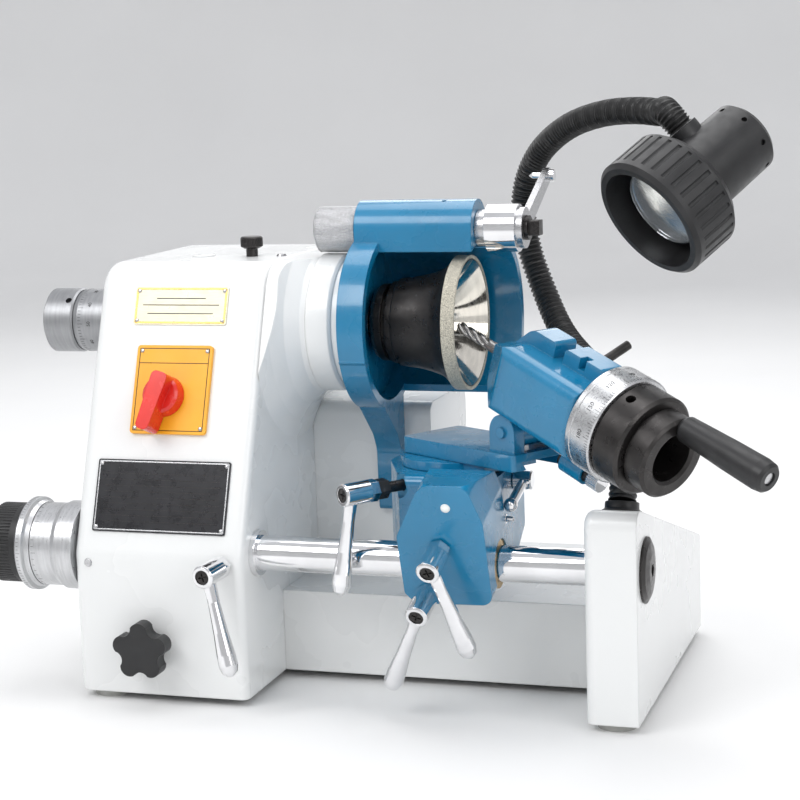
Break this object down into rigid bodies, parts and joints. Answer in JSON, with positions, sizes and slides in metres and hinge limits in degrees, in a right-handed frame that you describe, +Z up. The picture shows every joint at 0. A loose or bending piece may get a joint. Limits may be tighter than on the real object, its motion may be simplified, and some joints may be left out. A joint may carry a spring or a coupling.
{
  "type": "drill and cutter grinder",
  "caption": "Bench-top tool grinder: white column with motor and cup wheel, blue guard and dresser, sliding work head on a chromed bar, clamp levers, dials and a gooseneck lamp.",
  "frame": {"origin": "centre of the four mounting holes, on the plane the rubber feet stand on", "axes": "+X along the guide bar towards the end upright, +Y to the rear, +Z up"},
  "size_m": [0.5937, 0.3359, 0.428],
  "materials": {
    "white_paint": "glossy",
    "blue_paint": "glossy",
    "steel": "satin",
    "chrome": "polished",
    "aluminium": "satin",
    "dark_steel": "satin",
    "black_plastic": "satin",
    "red_plastic": "glossy",
    "yellow_plate": "glossy",
    "cream_plate": "satin",
    "black_plate": "satin",
    "rubber": "matte",
    "abrasive": "matte",
    "belt_rubber": "matte",
    "bronze": "satin",
    "glass": "polished",
    "motor_grey": "satin"
  },
  "bodies": {
    "frame": {"column_housing": "white_paint", "drive_case": "white_paint", "bed": "white_paint", "end_support": "white_paint", "end_screw": "dark_steel", "rear_cover": "white_paint", "rubber_feet": "rubber", "name_plate": "cream_plate", "switch_plate": "yellow_plate", "warning_plate": "black_plate", "small_fasteners": "steel", "cable_gland": "black_plastic", "spindle_housing": "white_paint", "spindle_bearings": "steel", "wheel_guard": "blue_paint", "motor": "motor_grey", "drive_belt": "belt_rubber", "bar_bushes": "chrome", "feed_barrel": "aluminium", "quill_sleeve": "aluminium", "gooseneck": "black_plastic"},
    "wheel_spindle": {"spindle_shaft": "steel", "wheel_hub": "dark_steel", "wheel_cup": "dark_steel", "abrasive_rim": "abrasive", "wheel_screw": "dark_steel"},
    "motor_drive": {"motor_pulley": "dark_steel"},
    "switch": {"switch_handle": "red_plastic"},
    "thumb": {"thumb_screw": "dark_steel"},
    "star": {"star_knob": "black_plastic"},
    "quill_feed": {"quill_knob": "aluminium"},
    "feed": {"feed_dial": "aluminium", "feed_knob": "black_plastic"},
    "bar": {"guide_bar": "chrome"},
    "sleeve": {"bar_sleeve": "bronze"},
    "bracket": {"carriage_bracket": "blue_paint", "bracket_fittings": "bronze"},
    "upper_lever": {"upper_clamp_lever": "chrome"},
    "lower_lever": {"lower_clamp_lever": "chrome"},
    "side_lever": {"side_clamp_lever": "chrome"},
    "rear_lever": {"rear_clamp_lever": "chrome"},
    "lock_lever": {"bar_lock_lever": "chrome"},
    "swivel": {"swivel_table": "blue_paint"},
    "slide": {"cross_slide": "blue_paint"},
    "head": {"index_head": "blue_paint"},
    "plunger": {"index_plunger": "dark_steel"},
    "pawl": {"pawl_pin": "dark_steel"},
    "quill": {"head_quill": "steel", "degree_ring": "steel", "index_nut": "dark_steel", "cutting_tool": "steel"},
    "grip": {"crank_grip": "black_plastic"},
    "dresser_feed": {"dresser_knob": "steel"},
    "dresser_slide": {"dresser_shaft": "steel"},
    "dresser_swing": {"dresser_collar": "steel", "dresser_arm": "steel", "diamond_holder": "chrome"},
    "lamp": {"lamp_head": "black_plastic", "lamp_bezel": "black_plastic", "lamp_lens": "glass"}
  },
  "joints": [
    {"name": "spindle_spin", "type": "hinge", "parent": "frame", "child": "wheel_spindle", "pos_m": [0, 0.0035, 0.265], "axis": [1, 0, 0], "continuous": true},
    {"name": "motor_spin", "type": "hinge", "parent": "frame", "child": "motor_drive", "pos_m": [0, 0.079, 0.122], "axis": [1, 0, 0], "continuous": true},
    {"name": "switch_turn", "type": "hinge", "parent": "frame", "child": "switch", "pos_m": [-0.1466, -0.08612, 0.2202], "axis": [0, -0.9348, 0.3552], "range_deg": [0, 60]},
    {"name": "thumb_turn", "type": "hinge", "parent": "frame", "child": "thumb", "pos_m": [-0.11, 0.0035, 0.315], "axis": [0, 0, 1], "range_deg": [-90, 90]},
    {"name": "star_turn", "type": "hinge", "parent": "frame", "child": "star", "pos_m": [-0.15, -0.128, 0.044], "axis": [0, -1, 0], "range_deg": [-180, 180]},
    {"name": "quill_knob_turn", "type": "hinge", "parent": "frame", "child": "quill_feed", "pos_m": [0, 0.0035, 0.265], "axis": [1, 0, 0], "range_deg": [-180, 180]},
    {"name": "bar_feed", "type": "slide", "parent": "frame", "child": "bar", "axis": [1, 0, 0], "range_m": [0, 0.006]},
    {"name": "feed_turn", "type": "hinge", "parent": "frame", "child": "feed", "pos_m": [0, -0.0975, 0.1087], "axis": [1, 0, 0], "range_deg": [0, 1080]},
    {"name": "carriage_travel", "type": "slide", "parent": "bar", "child": "sleeve", "axis": [1, 0, 0], "range_m": [0, 0.008]},
    {"name": "bracket_swing", "type": "hinge", "parent": "sleeve", "child": "bracket", "pos_m": [0, -0.0975, 0.1087], "axis": [-1, 0, 0], "range_deg": [-3, 4]},
    {"name": "upper_lever_turn", "type": "hinge", "parent": "bracket", "child": "upper_lever", "pos_m": [0.0755, -0.13625, 0.12765], "axis": [-0.0596, -0.914, -0.4014], "range_deg": [-10, 40]},
    {"name": "lower_lever_turn", "type": "hinge", "parent": "bracket", "child": "lower_lever", "pos_m": [0.063, -0.12513, 0.09341], "axis": [-0.0596, -0.914, -0.4014], "range_deg": [-10, 40]},
    {"name": "side_lever_turn", "type": "hinge", "parent": "bracket", "child": "side_lever", "pos_m": [0.0335, -0.0854, 0.16], "axis": [-0.6, -0.8, 0], "range_deg": [0, 60]},
    {"name": "rear_lever_turn", "type": "hinge", "parent": "bracket", "child": "rear_lever", "pos_m": [0.104, -0.042, 0.157], "axis": [1, 0, 0], "range_deg": [-30, 5]},
    {"name": "lock_lever_turn", "type": "hinge", "parent": "frame", "child": "lock_lever", "pos_m": [-0.0905, -0.1286, 0.1056], "axis": [-0.119, -0.9917, -0.0496], "range_deg": [-40, 40]},
    {"name": "table_swivel", "type": "hinge", "parent": "bracket", "child": "swivel", "pos_m": [0.0605, -0.035, 0.168], "axis": [0, 0, 1], "range_deg": [-6, 4]},
    {"name": "cross_feed", "type": "slide", "parent": "swivel", "child": "slide", "axis": [0.8462, -0.5329, 0], "range_m": [0, 0.008]},
    {"name": "head_tilt", "type": "hinge", "parent": "slide", "child": "head", "pos_m": [0.12214, -0.07382, 0.20109], "axis": [0.5329, 0.8462, 0], "range_deg": [-1, 4]},
    {"name": "quill_spin", "type": "hinge", "parent": "head", "child": "quill", "pos_m": [0.06558, -0.0382, 0.2677], "axis": [0.7994, -0.5034, -0.328], "continuous": true},
    {"name": "grip_spin", "type": "hinge", "parent": "quill", "child": "grip", "pos_m": [0.24688, -0.14883, 0.21777], "axis": [0.7994, -0.5034, -0.328], "continuous": true},
    {"name": "plunger_pull", "type": "slide", "parent": "head", "child": "plunger", "axis": [0.7994, -0.5034, -0.328], "range_m": [0, 0.004]},
    {"name": "pawl_turn", "type": "hinge", "parent": "head", "child": "pawl", "pos_m": [0.17992, -0.10548, 0.25023], "axis": [0.6003, 0.693, 0.3992], "range_deg": [-45, 45]},
    {"name": "dresser_travel", "type": "slide", "parent": "frame", "child": "dresser_slide", "axis": [1, 0, 0], "range_m": [0, 0.006]},
    {"name": "dresser_knob_turn", "type": "hinge", "parent": "frame", "child": "dresser_feed", "pos_m": [0, 0.0035, 0.335], "axis": [1, 0, 0], "range_deg": [0, 2160]},
    {"name": "dresser_arm_swing", "type": "hinge", "parent": "dresser_slide", "child": "dresser_swing", "pos_m": [0, 0.0035, 0.335], "axis": [-1, 0, 0], "range_deg": [0, 114]},
    {"name": "lamp_swivel", "type": "hinge", "parent": "frame", "child": "lamp", "pos_m": [0.22427, -0.02174, 0.40517], "axis": [-0.6178, -0.0975, 0.7803], "range_deg": [-25, 25]}
  ],
  "couplings": [
    {"joint": "motor_spin", "follows": "spindle_spin", "ratio": 0.86667},
    {"joint": "feed_turn", "follows": "bar_feed", "rad_per_m": 3141.3},
    {"joint": "dresser_knob_turn", "follows": "dresser_travel", "rad_per_m": 6282.6}
  ]
}
